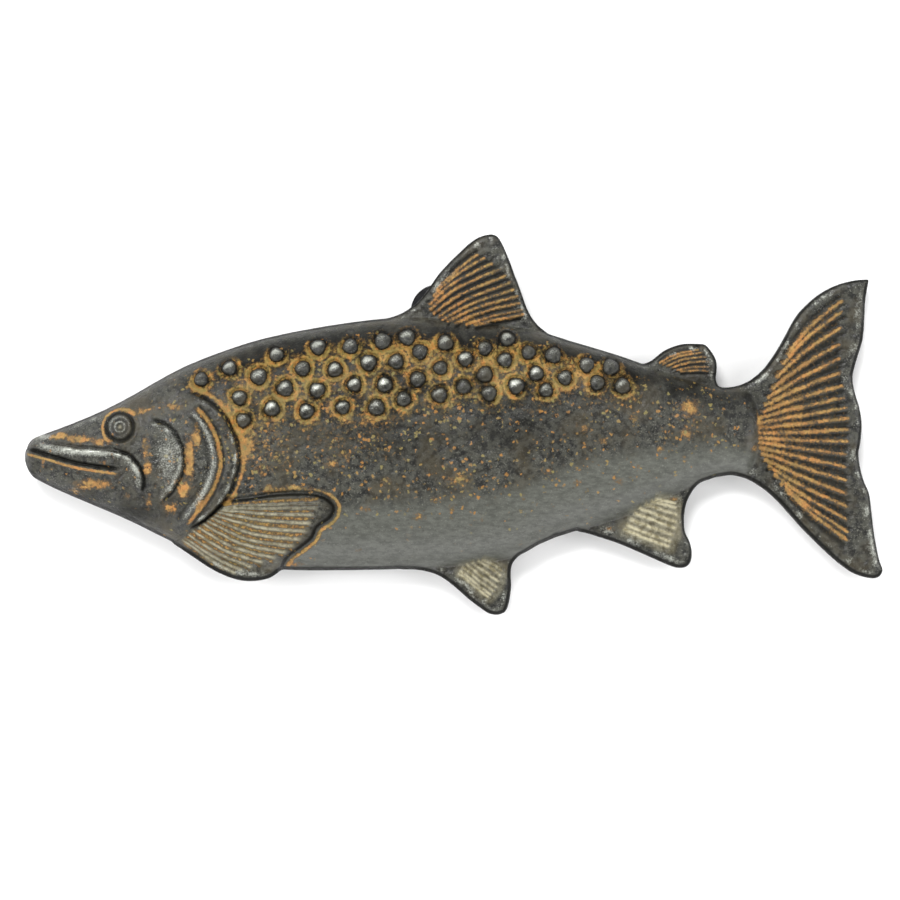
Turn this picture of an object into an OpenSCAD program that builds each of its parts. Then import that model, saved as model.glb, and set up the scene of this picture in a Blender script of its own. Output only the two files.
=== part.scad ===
// Souvenir bottle opener: a cast-iron trout relief with a flat back. A stamped steel plate,
// screwed to the back, lifts crown caps, and two pot magnets hold the opener on a steel door.
// Millimetres. +X runs from the nose to the tail, +Y to the back of the fish, +Z out of the relief.
// The origin is at the middle of the length, on the plane that the plate and magnets rest on.

/* [Casting] */
// Length from the nose to the lower tip of the tail
fish_length = 160.5; // [155:0.5:175]
// Height of the thickest part of the body above the flat back
crown_height = 11; // [10.5:0.5:13]
// Height of the straight wall round the body, below the curve of the flanks
wall_height = 2; // [1.5:0.25:3]
// Fullness of the flanks: 2 is an ellipse, more is squarer
fullness = 2.4; // [2.2:0.1:3]
// Thickness of the fins
fin_thickness = 4; // [4:0.25:5]
// Height of the fin rays above the fins
ray_height = 0.5; // [0.3:0.1:0.8]
// Radius of the balls that make the spots
spot_radius = 1.7; // [1.5:0.1:1.9]
// Height of a spot above the skin
spot_height = 0.7; // [0.5:0.1:0.9]

/* [Cap lifter] */
// Thickness of the stamped plate
plate_thickness = 2; // [1.5:0.25:2.5]
// Diameter of the mouth, which a crimped crown cap of 28.9 enters
mouth_diameter = 30; // [29.5:0.25:31]
// Distance from the tip of the tooth to the far side of the mouth
bite = 24; // [23:0.5:25]
// Width of the tooth that goes under the skirt of the cap
tooth_width = 10; // [8:0.5:11]
// Width of the rim round the mouth
rim_width = 4; // [3.5:0.25:4.5]
// Depth of the well in the casting that takes the cap
well_depth = 6.5; // [6.2:0.1:7]

/* [Screws] */
// Diameter of the thread
screw_diameter = 3; // [2.5:0.5:3]
// Diameter of the countersunk head
head_diameter = 5.6; // [5:0.1:6]
// Length of a screw, head included
screw_length = 5; // [4.5:0.25:5]

/* [Magnets] */
// Outside diameter of a steel cup
cup_diameter = 16; // [14:0.5:16]
// Wall of a cup
cup_wall = 1.2; // [1:0.1:1.5]
// Distance of each magnet from the middle of the length
magnet_reach = 38; // [36:0.5:38]

/* [Hidden] */
$fn = 64;

// Every outline below is drawn for a fish of this length and scaled to fish_length.
drawn_length = 160.5;
scale_xy = fish_length / drawn_length;

back_z = plate_thickness;
clearance = 0.1;
steel = "#4a4a4c";
iron = "#3f3d39";
magnet_plating = "#b9bcc0";
curve_steps = 5;
cut_through = 1;

// Edge of the body along the back and along the belly, without the fins.
nose_x = -80.3;
nose_round = 2;
tail_root_x = 57;
tail_round = 3;
back_line = [[-80, -3], [-75, -1.2], [-70, 0.7], [-65, 2.9], [-60, 5.5], [-55, 8.4], [-50, 11],
    [-42, 14.1], [-35, 16.2], [-25, 18.2], [-15, 19.6], [-8, 20], [0, 19.5], [8, 18.6], [16, 17.4],
    [20, 16.1], [30, 13.1], [36, 11], [42, 8.8], [50, 6.9], [57, 6.6]];
belly_line = [[-80, -9.2], [-75, -11.8], [-70, -14], [-65, -16.1], [-60, -18.3], [-55, -20.8],
    [-50, -23.2], [-45, -25], [-38, -26.6], [-30, -27.2], [-20, -27.2], [-10, -27], [0, -26.4],
    [7, -25.6], [12, -24.5], [17, -21.8], [23, -19.8], [30, -17.8], [36, -15.4], [42, -12.6],
    [46, -10.8], [50, -9.6], [57, -9.2]];
// Height of the crown along the body, as a share of crown_height.
crown_line = [[-80, 0.6], [-75, 0.68], [-68, 0.8], [-58, 0.93], [-48, 1], [0, 1], [20, 0.94],
    [36, 0.8], [48, 0.66], [57, 0.54]];

// Fins: each outline is a list of smooth runs, with a corner where two runs meet.
dorsal_fin = [
    [[-13.5, 19.6], [-11.6, 20.1], [-9.8, 20.8], [-8.2, 21.8], [-6.4, 23.4], [-4.7, 25.6],
        [-3, 28], [-1.2, 30], [0.8, 32], [3.1, 34.1], [5, 35.2], [6.8, 35.6]],
    [[6.8, 35.6], [8, 35.2], [8.9, 33.8], [9.7, 32], [10.5, 30], [11.2, 28], [12, 26], [12.7, 24],
        [13.4, 22], [14.4, 20], [15.8, 18.3], [18, 16.6]],
    [[18, 16.6], [14, 13]],
    [[14, 13], [-6, 14]],
    [[-6, 14], [-13.5, 19.6]]];
adipose_fin = [
    [[35, 11.2], [36.8, 11.9], [38.4, 13.2], [40, 14.2], [42.4, 15], [44.6, 15.1], [46.8, 15]],
    [[46.8, 15], [47.7, 14], [48.8, 12.2], [49, 10.4], [48.8, 8.4], [49.4, 6.9]],
    [[49.4, 6.9], [46, 4]],
    [[46, 4], [37, 6]],
    [[37, 6], [35, 11.2]]];
tail_fin = [
    [[48, 7.2], [51, 6.9], [54.5, 7.8], [57.5, 10], [59.8, 13], [61.6, 16], [63.8, 20],
        [65.8, 22.3], [68.3, 24.4], [71.3, 26], [74.5, 26.9], [77.6, 27.2]],
    [[77.6, 27.2], [76.9, 23.5], [76.7, 20], [76.4, 16], [75.3, 12.3], [74.5, 9], [74.9, 6],
        [75.8, 3], [76.2, 0], [76, -3], [75.6, -6], [76.4, -10], [77.6, -13], [78.1, -17],
        [78.6, -21], [79.4, -25], [80.2, -27.2]],
    [[80.2, -27.2], [79.6, -28.4], [78, -28.8], [75, -28], [72.5, -26.4], [70, -24.3], [67.5, -21.9],
        [65, -19.4], [62.5, -16.6], [60, -13.9], [57.5, -11.8], [54.5, -10.1], [51, -9.4],
        [48, -9.8]],
    [[48, -9.8], [48, 7.2]]];
anal_fin = [
    [[23, -20], [25, -20.4], [27.5, -21.2], [30, -22], [32.5, -23], [35, -24.1], [37.5, -25.2],
        [40, -26.3], [41.6, -26.8], [43, -26.8]],
    [[43, -26.8], [44, -26], [44.4, -24.2], [44, -22], [43.1, -20.2], [42.9, -18], [43.1, -15.6],
        [43.9, -13.4], [45.3, -11.4], [47.4, -10.1], [50, -9.5]],
    [[50, -9.5], [44, -6]],
    [[44, -6], [28, -12]],
    [[28, -12], [23, -20]]];
pelvic_fin = [
    [[-10, -27.1], [-7.5, -27.1], [-5, -27.5], [-2.6, -28.4], [0, -30.3], [2.5, -32.5], [5, -34.4],
        [6.6, -35.4], [8.2, -35.6]],
    [[8.2, -35.6], [9.5, -35], [10.1, -33.6], [10.4, -32], [10.6, -30], [10.5, -28], [10.8, -26],
        [12, -24.6], [13.6, -23.4], [15.2, -22.5]],
    [[15.2, -22.5], [10, -19]],
    [[10, -19], [-8, -22]],
    [[-8, -22], [-10, -27.1]]];
pectoral_fin = [
    [[-53, -21.8], [-48.2, -19.2], [-44.6, -16.6], [-42, -14.4]],
    [[-42, -14.4], [-38, -13.8], [-34, -13.2], [-30, -12.9], [-26, -13], [-23.6, -13.8],
        [-22.2, -15.4], [-23, -17.3], [-25.4, -19], [-26.4, -21], [-28.6, -22.8], [-31, -24.6],
        [-32.4, -27.2]],
    [[-32.4, -27.2], [-34.4, -28.6], [-37.5, -29.2], [-41, -28.8], [-45, -27.1], [-49, -24.5],
        [-53, -21.8]]];

// Fin rays: a count, the curve that they start on and the curve that they end on.
dorsal_rays = [11, [[-6.6, 22], [-5.2, 19.6], [-1, 18.2], [3, 17.9], [8, 18.3]],
    [[4.4, 32.6], [8.2, 30.4], [10.2, 27], [11.8, 23.4], [13.4, 19.8]]];
adipose_rays = [6, [[37.6, 11.3], [39.6, 10], [43, 8.8]], [[44.2, 14], [47.4, 12.4], [47.8, 9]]];
tail_rays = [19, [[60.4, 11.6], [57.6, 7], [56.8, 2], [57, -2.5], [57.6, -6.5], [60.6, -10.8]],
    [[71, 24.2], [75.2, 18.6], [73.4, 10], [74.6, 1], [74.4, -6], [76.4, -15], [75.4, -24.4]]];
anal_rays = [8, [[37, -13.4], [33.6, -15.6], [31.6, -18], [30.6, -20.4]],
    [[41.8, -14], [42, -17], [41.8, -20.6], [40.8, -24.2]]];
pelvic_rays = [7, [[0, -28], [1.2, -25.8], [5, -24.4]], [[6.4, -33.8], [8.8, -31.6], [9.4, -27]]];
pectoral_rays = [12, [[-43, -15.6], [-46.6, -18.4], [-50.6, -21.6]],
    [[-24.6, -15.4], [-27.4, -20.6], [-33.8, -26], [-40.4, -27.8]]];
ray_width = 0.7;

// Head: the gill cover, the crescent behind the cheek and the upper jaw, raised above the skin.
gill_cover = [
    [[-49.4, 5.6], [-45.4, 4.2], [-42.2, 1], [-40.2, -3], [-39.8, -7], [-41.2, -11.6],
        [-44.6, -16], [-50, -19.8]],
    [[-50, -19.8], [-48.4, -15.6], [-45.6, -12.8], [-43.8, -9], [-43.2, -5.6], [-43.9, -2],
        [-46.4, 1.8], [-49.4, 5.6]]];
cheek_crescent = [
    [[-55.4, 0.4], [-51.6, -2], [-50, -6], [-50.3, -10.4], [-54.4, -15.2]],
    [[-54.4, -15.2], [-52.6, -11], [-52.2, -7], [-53, -3], [-55.4, 0.4]]];
jaw_bone = [
    [[-77.4, -4.4], [-70, -3.9], [-64, -4.6], [-60, -5.6], [-58.2, -8], [-58.6, -10]],
    [[-58.6, -10], [-61, -8.2], [-68, -7.2], [-77.4, -5.6]],
    [[-77.4, -5.6], [-77.4, -4.4]]];
head_relief = 0.8;
fin_relief = 1.2;

eye_at = [-61.9, -0.5];
eye_radius = 2.7;
eye_ring_wire = 0.5;
pupil_radius = 1.3;

// Spots on the upper flank.
spots = [[-46.9, 8.3], [-41.7, 10.4], [-36.2, 8.8], [-39.7, 4.9], [-39, 0.7], [-33, 12.9],
    [-33.7, 2.9], [-31.3, 6.6], [-28.1, 10.3], [-25.3, 14.3], [-25.3, 6.3], [-27.3, 2.4],
    [-22.1, 10.1], [-19.3, 14.4], [-18.5, 7.3], [-20.6, 3.1], [-15.9, 11.4], [-13.3, 15.4],
    [-12.9, 7.3], [-14.4, 3.1], [-10.8, 11.6], [-8.8, 16.1], [-6.4, 13.4], [-6.8, 8.3],
    [-9.4, 4.6], [-1.7, 15.1], [-2.6, 10.4], [-2.8, 5.4], [2, 12.1], [5.6, 14.1], [9.8, 15.9],
    [1.7, 6.9], [5.6, 9.2], [9.3, 11.9], [6.4, 5.7], [11.4, 7.1], [13.7, 13.3], [15.1, 9.4],
    [16.9, 6.3], [18.3, 12.8], [20.4, 8.6], [24.5, 11], [26.4, 7.7], [29, 10.6], [31.1, 7.1]];

// Cap lifter: a ring with an ear above and below, each held by one screw.
mouth_y = -2.5;
mouth_radius = mouth_diameter / 2;
ring_radius = mouth_radius + rim_width;
tooth_tip_x = bite - mouth_radius;
tooth_corner = 2;
upper_ear = [8.2, 26.3];
upper_ear_corner = 5;
lower_ear = [7, -26.2];
lower_ear_corner = 3.5;
ear_fillet = 3;
arc_steps = 16;
screw_ys = [19, -21.5];
head_height = (head_diameter - screw_diameter) / 2;
socket_width = 2;
socket_depth = 0.9;
well_radius = mouth_radius + 1;

// Pot magnets: the cup stands in a bore and comes level with the face of the plate.
magnet_ys = [-5.5, -1.9];
bore_depth = 3;
cup_depth = 4;
cup_height = back_z + bore_depth;
magnet_radius = cup_diameter / 2 - cup_wall - clearance;
magnet_chamfer = 0.4;

// Smooth curves through set points.
function curve_point(a, b, c, d, t) =
    (2 * b + (c - a) * t + (2 * a - 5 * b + 4 * c - d) * t ^ 2 + (3 * b - a - 3 * c + d) * t ^ 3) / 2;
function curve_at(points, i, t) =
    curve_point(points[max(i - 1, 0)], points[i], points[i + 1], points[min(i + 2, len(points) - 1)], t);
function curve(points) =
    [for (i = [0:len(points) - 2], s = [0:curve_steps - 1]) curve_at(points, i, s / curve_steps)];
function outline(runs) = [for (run = runs) each len(run) == 2 ? [run[0]] : curve(run)];
function along(points, share) =
    let (u = share * (len(points) - 1), i = min(floor(u), len(points) - 2))
    curve_at(points, i, u - i);

// Value at x of a line that is set by points in order of x.
function stretch(line, x, i = 0) = i >= len(line) - 2 || x < line[i + 1].x ? i : stretch(line, x, i + 1);
function slope(line, i) =
    let (a = line[max(i - 1, 0)], b = line[min(i + 1, len(line) - 1)])
    (b.y - a.y) / (b.x - a.x);
function height_at(line, x) =
    let (i = stretch(line, x), a = line[i], b = line[i + 1], w = b.x - a.x, t = (x - a.x) / w)
    a.y * (1 + 2 * t) * (1 - t) ^ 2 + b.y * t ^ 2 * (3 - 2 * t)
        + w * t * (1 - t) * (slope(line, i) * (1 - t) - slope(line, i + 1) * t);

// The body's cross-sections: a straight wall and then the curve of the flanks.
function end_round(x) =
    x < nose_x + nose_round ? sqrt(1 - ((nose_x + nose_round - x) / nose_round) ^ 2)
    : x > tail_root_x - tail_round ? sqrt(1 - ((x - tail_root_x + tail_round) / tail_round) ^ 2)
    : 1;
function middle(x) = (height_at(back_line, x) + height_at(belly_line, x)) / 2;
function half_width(x) = (height_at(back_line, x) - height_at(belly_line, x)) / 2 * end_round(x);
function crown(x) = crown_height * height_at(crown_line, x) * (0.4 + 0.6 * end_round(x));
function skin_z(x, y) =
    let (t = min(abs((y - middle(x)) / half_width(x)), 1))
    back_z + wall_height + (crown(x) - wall_height) * (1 - t ^ fullness) ^ (1 / fullness);
function section_point(x, angle) =
    let (c = cos(angle), s = sin(angle), power = 2 / fullness)
    [x * scale_xy, scale_xy * (middle(x) + half_width(x) * sign(c) * abs(c) ^ power),
        back_z + wall_height + (crown(x) - wall_height) * s ^ power];
function section(x, raise, sides) =
    [[x * scale_xy, scale_xy * (middle(x) + half_width(x)), back_z],
        for (i = [0:sides]) section_point(x, 180 * i / sides) + [0, 0, raise],
        [x * scale_xy, scale_xy * (middle(x) - half_width(x)), back_z]];

// Body, or a stretch of it, from one cross-section to the next.
module loft(stations, raise = 0, sides = 16) {
    ring = sides + 3;
    last = len(stations) - 1;
    points = [for (x = stations) each section(x, raise, sides)];
    faces = [
        [for (j = [0:ring - 1]) j],
        for (i = [0:last - 1], j = [0:ring - 1])
            let (a = i * ring + j, b = i * ring + (j + 1) % ring)
            each [[a, a + ring, b], [b, a + ring, b + ring]],
        [for (j = [ring - 1:-1:0]) last * ring + j]];
    polyhedron(points, faces, convexity = 6);
}

module plan(runs) {
    scale([scale_xy, scale_xy, 1])
        polygon(outline(runs));
}

module ray(from, to) {
    side = ray_width / 2 * [from.y - to.y, to.x - from.x] / norm(to - from);
    polygon([from - side, to - side / 2, to + side / 2, from + side]);
}

module ray_plan(rays) {
    for (i = [0:rays[0] - 1]) {
        share = i / (rays[0] - 1);
        ray(scale_xy * along(rays[1], share), scale_xy * along(rays[2], share));
    }
}

module fin(runs, rays) {
    translate([0, 0, back_z]) {
        linear_extrude(fin_thickness)
            plan(runs);
        linear_extrude(fin_thickness + ray_height)
            ray_plan(rays);
    }
}

module body() {
    nose = [for (step = [0.05, 0.3, 0.8, 1.5, 2.4, 3.4]) nose_x + step];
    trunk = [for (x = [nose_x + 6:3:tail_root_x - tail_round]) x];
    tail = [for (step = [2, 1, 0.3]) tail_root_x - step];
    loft(concat(nose, trunk, tail));
}

module head_plates() {
    intersection() {
        loft([for (x = [nose_x + 2:3:-35]) x], head_relief);
        linear_extrude(back_z + 2 * crown_height) {
            plan(gill_cover);
            plan(cheek_crescent);
            plan(jaw_bone);
        }
    }
}

module pectoral() {
    stations = [for (x = [-56:4:-20]) x];
    fin(pectoral_fin, [0]);
    intersection() {
        loft(stations, fin_relief);
        linear_extrude(back_z + 2 * crown_height)
            plan(pectoral_fin);
    }
    intersection() {
        loft(stations, fin_relief + ray_height);
        linear_extrude(back_z + 2 * crown_height)
            ray_plan(pectoral_rays);
    }
}

module on_skin(at, height) {
    translate([at.x * scale_xy, at.y * scale_xy, skin_z(at.x, at.y) + height])
        children();
}

module eye() {
    on_skin(eye_at, 0) {
        rotate_extrude($fn = 32)
            translate([eye_radius - eye_ring_wire, 0])
                circle(eye_ring_wire, $fn = 16);
        translate([0, 0, -pupil_radius / 2])
            sphere(pupil_radius, $fn = 24);
    }
}

module fish_casting() {
    color(iron)
        difference() {
            union() {
                body();
                head_plates();
                pectoral();
                eye();
                fin(dorsal_fin, dorsal_rays);
                fin(adipose_fin, adipose_rays);
                fin(tail_fin, tail_rays);
                fin(anal_fin, anal_rays);
                fin(pelvic_fin, pelvic_rays);
                for (spot = spots)
                    on_skin(spot, spot_height - spot_radius)
                        sphere(spot_radius, $fn = 24);
            }
            translate([0, mouth_y, back_z - cut_through])
                cylinder(h = well_depth + cut_through, r = well_radius);
            for (y = screw_ys)
                translate([0, y, back_z - cut_through])
                    cylinder(h = screw_length - back_z + cut_through + clearance,
                        d = screw_diameter + clearance);
            magnet_places()
                translate([0, 0, back_z - cut_through])
                    cylinder(h = bore_depth + cut_through, r = cup_diameter / 2 + clearance);
        }
}

// Places its children at both magnets, or at one of them.
module magnet_places(which = [0, 1]) {
    for (i = which)
        translate([(2 * i - 1) * magnet_reach, magnet_ys[i], 0])
            children();
}

// The plate's outline about the middle of the mouth: each ear runs out of the rim on two fillets.
function arc(centre, radius, from, to) =
    [for (i = [0:arc_steps]) let (a = from + (to - from) * i / arc_steps)
        centre + radius * [cos(a), sin(a)]];
function fillet_centre(half_width) =
    [half_width + ear_fillet, sqrt((ring_radius + ear_fillet) ^ 2 - (half_width + ear_fillet) ^ 2)];
function fillet_tilt(half_width) =
    atan2(fillet_centre(half_width).y, fillet_centre(half_width).x);
function ear_outline(half_width, reach, corner) =
    let (f = fillet_centre(half_width), tilt = fillet_tilt(half_width),
        c = [half_width - corner, reach - corner])
    concat(arc(f, ear_fillet, 180 + tilt, 180), arc(c, corner, 0, 90),
        arc([-c.x, c.y], corner, 90, 180), arc([-f.x, f.y], ear_fillet, 0, -tilt));

module plate_plan() {
    upper_tilt = fillet_tilt(upper_ear.x);
    lower_tilt = fillet_tilt(lower_ear.x);
    polygon(concat(
        ear_outline(upper_ear.x, upper_ear.y - mouth_y, upper_ear_corner),
        arc([0, 0], ring_radius, 180 - upper_tilt, 180 + lower_tilt),
        -ear_outline(lower_ear.x, mouth_y - lower_ear.y, lower_ear_corner),
        arc([0, 0], ring_radius, -lower_tilt, upper_tilt)));
}

module mouth_plan() {
    corner = [tooth_tip_x + tooth_corner, tooth_width / 2 - tooth_corner];
    difference() {
        circle(mouth_radius);
        polygon(concat(
            [[ring_radius, tooth_width / 2]],
            arc(corner, tooth_corner, 90, 180),
            arc([corner.x, -corner.y], tooth_corner, 180, 270),
            [[ring_radius, -tooth_width / 2]]));
    }
}

module cap_lifter() {
    color(steel)
        difference() {
            translate([0, mouth_y, 0])
                linear_extrude(plate_thickness)
                    difference() {
                        plate_plan();
                        mouth_plan();
                    }
            for (y = screw_ys)
                translate([0, y, 0]) {
                    translate([0, 0, -cut_through])
                        cylinder(h = plate_thickness + 2 * cut_through,
                            d = screw_diameter + 2 * clearance);
                    cylinder(h = head_height, d1 = head_diameter, d2 = screw_diameter);
                }
        }
}

module lifter_screws() {
    color(steel)
        for (y = screw_ys)
            translate([0, y, 0])
                difference() {
                    union() {
                        cylinder(h = head_height, d1 = head_diameter - clearance,
                            d2 = screw_diameter - clearance);
                        cylinder(h = screw_length, d = screw_diameter - clearance);
                    }
                    translate([0, 0, -cut_through])
                        cylinder(h = socket_depth + cut_through, d = socket_width / cos(30), $fn = 6);
                }
}

module magnet_cup(which) {
    color(steel)
        magnet_places([which])
            difference() {
                cylinder(h = cup_height, d = cup_diameter);
                translate([0, 0, -cut_through])
                    cylinder(h = cup_depth + cut_through, r = cup_diameter / 2 - cup_wall);
            }
}

module magnet(which) {
    color(magnet_plating)
        magnet_places([which])
            rotate_extrude()
                polygon([[0, 0], [magnet_radius - magnet_chamfer, 0], [magnet_radius, magnet_chamfer],
                    [magnet_radius, cup_depth], [0, cup_depth]]);
}

module head_magnet_cup() {
    magnet_cup(0);
}

module head_magnet() {
    magnet(0);
}

module tail_magnet_cup() {
    magnet_cup(1);
}

module tail_magnet() {
    magnet(1);
}

fish_casting();
cap_lifter();
lifter_screws();
head_magnet_cup();
head_magnet();
tail_magnet_cup();
tail_magnet();
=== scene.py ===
import math
from collections import namedtuple

import bmesh
import bpy
import numpy as np
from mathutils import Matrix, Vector, kdtree
from mathutils.geometry import delaunay_2d_cdt


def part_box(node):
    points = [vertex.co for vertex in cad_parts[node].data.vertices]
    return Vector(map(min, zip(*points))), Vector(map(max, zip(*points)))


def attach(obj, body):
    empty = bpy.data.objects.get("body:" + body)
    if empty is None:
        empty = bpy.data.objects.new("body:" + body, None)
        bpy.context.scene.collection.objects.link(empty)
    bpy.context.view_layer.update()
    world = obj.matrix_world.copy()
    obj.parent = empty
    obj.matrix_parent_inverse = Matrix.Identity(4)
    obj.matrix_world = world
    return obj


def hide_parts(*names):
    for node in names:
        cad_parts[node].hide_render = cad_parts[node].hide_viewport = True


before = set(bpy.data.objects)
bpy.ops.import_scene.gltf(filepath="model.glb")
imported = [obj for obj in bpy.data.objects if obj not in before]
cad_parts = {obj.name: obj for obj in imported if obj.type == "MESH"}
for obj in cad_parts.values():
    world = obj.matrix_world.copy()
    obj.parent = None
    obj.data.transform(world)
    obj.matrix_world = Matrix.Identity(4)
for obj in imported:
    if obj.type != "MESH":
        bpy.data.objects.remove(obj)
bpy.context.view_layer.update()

MM = 0.001
CASTING = "fish_casting"

# ---------------- the trout, in millimetres
# Heights are above the flat back of the casting.
BACK_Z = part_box(CASTING)[0].z / MM
FIN_THICKNESS = 4.0
FIN_THINNING = 0.8  # lost towards the tips of the fins
FIN_THINNING_REACH = 22.0
TRUNK_EDGE_HEIGHT = 2.0
CROWN_HEIGHT = 11.0
FULLNESS = 2.4  # power of the arch across the trunk: 2 would be an ellipse
EDGE_ROUND = 1.25
BLEND = 0.8  # softness of the corner between trunk and fin

# The body without its fins: its edge along the back and along the belly, and its crown.
NOSE_X = -80.3
NOSE_ROUND = 2.0
TAIL_ROOT_X = 57.0
TAIL_ROUND = 3.0
BACK_LINE = [
    (-80, -3), (-75, -1.2), (-70, 0.7), (-65, 2.9), (-60, 5.5), (-55, 8.4), (-50, 11), (-42, 14.1),
    (-35, 16.2), (-25, 18.2), (-15, 19.6), (-8, 20), (0, 19.5), (8, 18.6), (16, 17.4), (20, 16.1),
    (30, 13.1), (36, 11), (42, 8.8), (50, 6.9), (57, 6.6)]
BELLY_LINE = [
    (-80, -9.2), (-75, -11.8), (-70, -14), (-65, -16.1), (-60, -18.3), (-55, -20.8), (-50, -23.2),
    (-45, -25), (-38, -26.6), (-30, -27.2), (-20, -27.2), (-10, -27), (0, -26.4), (7, -25.6), (12, -24.5),
    (17, -21.8), (23, -19.8), (30, -17.8), (36, -15.4), (42, -12.6), (46, -10.8), (50, -9.6), (57, -9.2)]
# Height of the crown along the body, as a share of CROWN_HEIGHT.
CROWN_LINE = [
    (-80, 0.6), (-75, 0.68), (-68, 0.8), (-58, 0.93), (-48, 1), (0, 1), (20, 0.94), (36, 0.8), (48, 0.66),
    (57, 0.54)]

# Fans of fin rays: count, share of the pitch that a ridge fills, and the curves that the rays start
# on, pass through and end on. The curves' points belong together, from the first ray to the last.
Fan = namedtuple("Fan", "count fill roots middles tips")
DORSAL_RAYS = Fan(
    11, 0.34,
    [(3.4, 18.5), (-1.1, 18.8), (-3.4, 19.7), (-5, 21.5), (-3.6, 24.8)],
    [(7.9, 19.5), (5.2, 21.5), (2.4, 23.4), (0.2, 26), (0.9, 29.2)],
    [(13.5, 20.6), (12.7, 23.4), (11, 26.6), (8.4, 29.8), (4.9, 32.1)])
ADIPOSE_RAYS = Fan(
    6, 0.34,
    [(42, 9.8), (39.8, 10.6), (38.1, 11.3)],
    [(45, 10), (43.4, 11.9), (41.2, 13)],
    [(47.6, 9.9), (47.6, 12.2), (46, 14.1)])
TAIL_RAYS = Fan(
    20, 0.28,
    [(61.8, 12.6), (58.6, 5.9), (56.8, 1.8), (56.6, -1.2), (56.4, -3.8), (58, -7.4), (61.4, -11.6)],
    [(66.4, 18.4), (64.6, 10.4), (64.9, 4.5), (65.2, -0.6), (65, -5.6), (65, -11.2), (66.8, -16.8)],
    [(72.8, 23.4), (72.4, 14.8), (73, 6.6), (74.2, 0.2), (73.5, -7.2), (73.8, -15.2), (73.8, -21.9)])
ANAL_RAYS = Fan(
    8, 0.3,
    [(37.2, -14), (33.8, -16), (31.4, -19.4)],
    [(39.4, -14.2), (37.6, -17.4), (35.6, -21.2)],
    [(41.4, -14.8), (41.5, -18.8), (40.2, -22.8)])
PELVIC_RAYS = Fan(
    7, 0.3,
    [(0.6, -27.6), (2, -26), (5, -25.2)],
    [(3.6, -30.2), (5.2, -28.4), (7.4, -26.2)],
    [(6.4, -32.4), (8, -30.4), (9, -27.4)])
PECTORAL_RAYS = Fan(
    13, 0.25,
    [(-42.6, -15.2), (-46, -17.6), (-50.6, -21.2)],
    [(-33.4, -14.8), (-38.4, -21.2), (-45.6, -25)],
    [(-24.6, -14.6), (-29.6, -22.6), (-40.6, -27.8)])
RAY_WIDTHS = (0.2, 0.5)
RAY_WAVER = 0.08
RAY_WAVER_SIZE = 2.6

PECTORAL = [
    (-53, -21.8), (-48.2, -19.2), (-44.6, -16.6), (-42, -14.4), (-38, -13.8), (-34, -13.2), (-30, -12.9),
    (-26, -13), (-23.6, -13.8), (-22.2, -15.4), (-23, -17.3), (-25.4, -19), (-26.4, -21), (-28.6, -22.8),
    (-31, -24.6), (-32.4, -27.2), (-33.4, -31), (-42, -32), (-50, -27)]
PECTORAL_HEIGHT = 5.4
PECTORAL_RISE = 0.9

# Lines of the head, from their upper or front end.
GILL_EDGE = [
    (-49.6, 6), (-46.6, 5), (-43.9, 3), (-41.6, 0.2), (-40.2, -3), (-39.8, -6.6), (-40.6, -10.4),
    (-42.4, -14), (-45.6, -17.2), (-49.4, -19.8)]
GILL_GROOVE = [
    (-48, 3.4), (-45.9, 1.2), (-44.2, -1.8), (-43.4, -4.6), (-43.2, -8.1), (-44.8, -12.5), (-47.8, -16.6),
    (-49.9, -19.2)]
CHEEK_EDGE = [
    (-56.4, 0.8), (-53.6, 0), (-51.6, -1.8), (-50.2, -4.8), (-50.1, -8.6), (-51.6, -11.8), (-54.4, -14.6)]
JAW_EDGE = [
    (-78.4, -3), (-75, -3.5), (-70.6, -4.1), (-66.6, -4.6), (-62.4, -4.9), (-59.6, -6.1), (-57.9, -8.5),
    (-57.4, -10.6), (-57.8, -12.6)]
MOUTH = [(-80.1, -4.4), (-79.2, -4.6), (-75, -5.7), (-69.5, -7.2), (-61, -8.4)]
EYE = (-61.9, -0.5)

SPOTS = [
    (-46.9, 8.3), (-41.7, 10.4), (-36.2, 8.8), (-39.7, 4.9), (-39, 0.7), (-33, 12.9), (-33.7, 2.9),
    (-31.3, 6.6), (-28.1, 10.3), (-25.3, 14.3), (-25.3, 6.3), (-27.3, 2.4), (-22.1, 10.1), (-19.3, 14.4),
    (-18.5, 7.3), (-20.6, 3.1), (-15.9, 11.4), (-13.3, 15.4), (-12.9, 7.3), (-14.4, 3.1), (-10.8, 11.6),
    (-8.8, 16.1), (-6.4, 13.4), (-6.8, 8.3), (-9.4, 4.6), (-1.7, 15.1), (-2.6, 10.4), (-2.8, 5.4),
    (2, 12.1), (5.6, 14.1), (9.8, 15.9), (1.7, 6.9), (5.6, 9.2), (9.3, 11.9), (6.4, 5.7), (11.4, 7.1),
    (13.7, 13.3), (15.1, 9.4), (16.9, 6.3), (18.3, 12.8), (20.4, 8.6), (24.5, 11), (26.4, 7.7),
    (29, 10.6), (31.1, 7.1)]
SPOT_RADIUS = 1.42
SPOT_HEIGHT = 0.85
SPOT_REACH = 6.0  # how far from its middle a spot is worked out

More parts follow.
